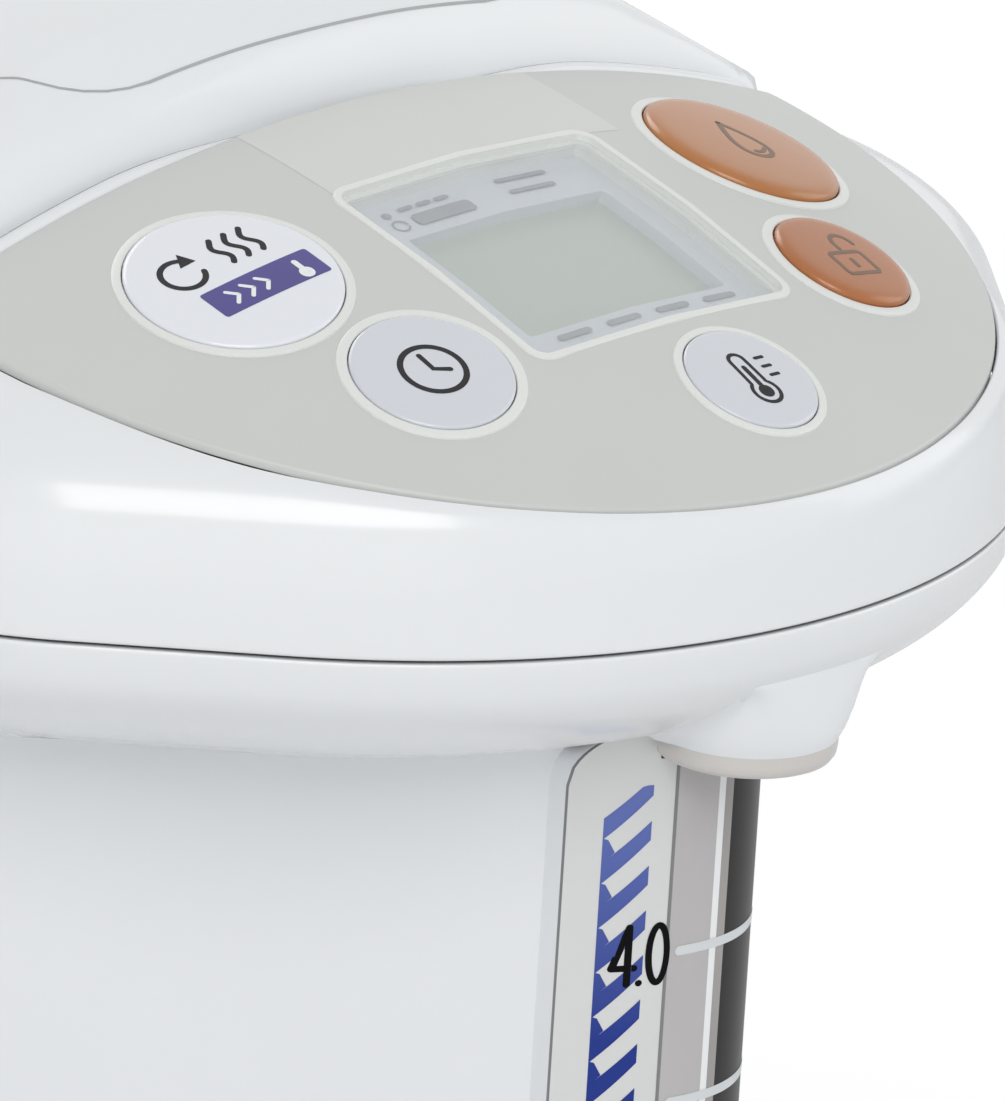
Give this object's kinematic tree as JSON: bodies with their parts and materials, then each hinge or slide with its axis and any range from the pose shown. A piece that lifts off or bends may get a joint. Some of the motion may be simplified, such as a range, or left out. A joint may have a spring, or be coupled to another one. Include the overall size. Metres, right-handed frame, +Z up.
{
  "type": "electric thermo pot",
  "caption": "Electric thermo pot with an egg-shaped body on a swivel base, domed button panel, level gauge, under-head spout, hinged lid and rear-resting handle.",
  "frame": {"origin": "centre of the swivel base's footprint on the table, on the axis of the swivel and of the round part of the body", "axes": "+Z up, -Y towards the user (the spout and panel side), +X to the user's right"},
  "size_m": [0.219, 0.289, 0.34],
  "materials": {
    "white_plastic": "gloss moulded plastic",
    "white_metal": "gloss painted sheet steel",
    "panel_film": "satin grey film",
    "clear_plastic": "clear moulded plastic",
    "display_grey": "reflective display",
    "display_bezel": "satin plastic",
    "orange_cap": "satin plastic",
    "grey_cap": "satin plastic",
    "white_cap": "satin plastic",
    "steel": "brushed",
    "inner_plastic": "moulded plastic",
    "dark_plastic": "moulded plastic",
    "grey_plastic": "moulded plastic",
    "rubber": "matt rubber",
    "silicone": "matt silicone",
    "brass": "plated",
    "board": "circuit board",
    "spout_plastic": "satin plastic",
    "mica": "heater band",
    "red_plastic": "moulded plastic"
  },
  "bodies": {
    "base": {"foot_pads": "rubber", "turntable": "white_plastic", "swivel_retainer": "steel"},
    "pot": {"bottom_cover": "white_plastic", "glide_pads": "grey_plastic", "base_frame": "steel", "bottom_screws": "steel", "inlet_housing": "dark_plastic", "inlet_pins": "brass", "inlet_magnet": "steel", "body_sleeve": "white_metal", "gauge_backing": "inner_plastic", "gauge_plate": "panel_film", "gauge_window": "clear_plastic", "gauge_tube": "clear_plastic", "gauge_seals": "silicone", "lower_joint": "inner_plastic", "upper_joint": "inner_plastic", "spout_pipe": "inner_plastic", "inner_vessel": "steel", "heater_band": "mica", "thermistor": "steel", "thermal_fuse": "inner_plastic", "vessel_outlet": "silicone", "pump_housing": "inner_plastic", "pump_cover": "inner_plastic", "pump_motor": "steel", "power_board": "board", "rim": "white_plastic", "spout_ring": "spout_plastic", "head_cover": "white_plastic", "control_panel": "panel_film", "display_frame": "display_bezel", "display_glass": "display_grey", "display_window": "clear_plastic", "control_board": "board", "tact_switches": "dark_plastic", "hinge_pin": "steel", "handle_pivots": "steel", "head_screws": "steel"},
    "lid": {"lid_cover": "white_plastic", "lid_base": "inner_plastic", "inner_lid": "steel", "lid_gasket": "silicone", "lever_pin": "steel", "latch_springs": "steel", "vent_cap": "grey_cap", "steam_baffle": "inner_plastic"},
    "lever": {"lid_lever": "white_plastic"},
    "claw": {"latch_claw": "inner_plastic"},
    "release": {"lid_release": "grey_cap"},
    "handle": {"carry_handle": "white_plastic"},
    "ball": {"tip_ball": "steel"},
    "rotor": {"motor_rotor": "grey_plastic"},
    "impeller": {"impeller": "red_plastic"},
    "reboil": {"reboil_button": "white_cap"},
    "timer": {"timer_button": "grey_cap"},
    "temp": {"temp_button": "grey_cap"},
    "dispense": {"dispense_button": "orange_cap"},
    "unlock": {"unlock_button": "orange_cap"}
  },
  "joints": [
    {"name": "swivel", "type": "hinge", "parent": "base", "child": "pot", "pos_m": [0, 0, 0.01], "axis": [0, 0, 1], "continuous": true},
    {"name": "lid_hinge", "type": "hinge", "parent": "pot", "child": "lid", "pos_m": [0, 0.0925, 0.3], "axis": [-1, 0, 0], "range_deg": [0, 95]},
    {"name": "lever_lift", "type": "hinge", "parent": "lid", "child": "lever", "pos_m": [0, 0.004, 0.3365], "axis": [-1, 0, 0], "range_deg": [0, 25], "stiffness_Nm_per_rad": 0.01, "springref_deg": -5.73},
    {"name": "claw_slide", "type": "slide", "parent": "lid", "child": "claw", "axis": [0, 1, 0], "range_m": [0, 0.0035]},
    {"name": "release_push", "type": "slide", "parent": "lid", "child": "release", "axis": [0, -1, 0], "range_m": [0, 0.002], "stiffness_N_per_m": 400, "springref_m": -0.001},
    {"name": "handle_swing", "type": "hinge", "parent": "pot", "child": "handle", "pos_m": [0, 0.004, 0.284], "axis": [1, 0, 0], "range_deg": [0, 90]},
    {"name": "ball_lift", "type": "slide", "parent": "pot", "child": "ball", "axis": [0, 0, 1], "range_m": [0, 0.004]},
    {"name": "rotor_spin", "type": "hinge", "parent": "pot", "child": "rotor", "pos_m": [0, -0.046, 0.03], "axis": [0, 0, 1], "continuous": true},
    {"name": "impeller_spin", "type": "hinge", "parent": "pot", "child": "impeller", "pos_m": [0, -0.046, 0.04], "axis": [0, 0, 1], "continuous": true},
    {"name": "reboil_press", "type": "slide", "parent": "pot", "child": "reboil", "axis": [0.1964, 0.2433, -0.9499], "range_m": [0, 0.001], "stiffness_N_per_m": 300, "springref_m": -0.001},
    {"name": "timer_press", "type": "slide", "parent": "pot", "child": "timer", "axis": [0.1587, 0.3547, -0.9214], "range_m": [0, 0.001], "stiffness_N_per_m": 300, "springref_m": -0.001},
    {"name": "temp_press", "type": "slide", "parent": "pot", "child": "temp", "axis": [-0.0097, 0.4275, -0.9039], "range_m": [0, 0.001], "stiffness_N_per_m": 300, "springref_m": -0.001},
    {"name": "dispense_press", "type": "slide", "parent": "pot", "child": "dispense", "axis": [-0.1964, 0.2433, -0.9499], "range_m": [0, 0.001], "stiffness_N_per_m": 300, "springref_m": -0.001},
    {"name": "unlock_press", "type": "slide", "parent": "pot", "child": "unlock", "axis": [-0.1587, 0.3547, -0.9214], "range_m": [0, 0.001], "stiffness_N_per_m": 300, "springref_m": -0.001}
  ],
  "couplings": [
    {"joint": "claw_slide", "follows": "lever_lift", "m_per_rad": 0.008},
    {"joint": "impeller_spin", "follows": "rotor_spin", "ratio": 1}
  ]
}
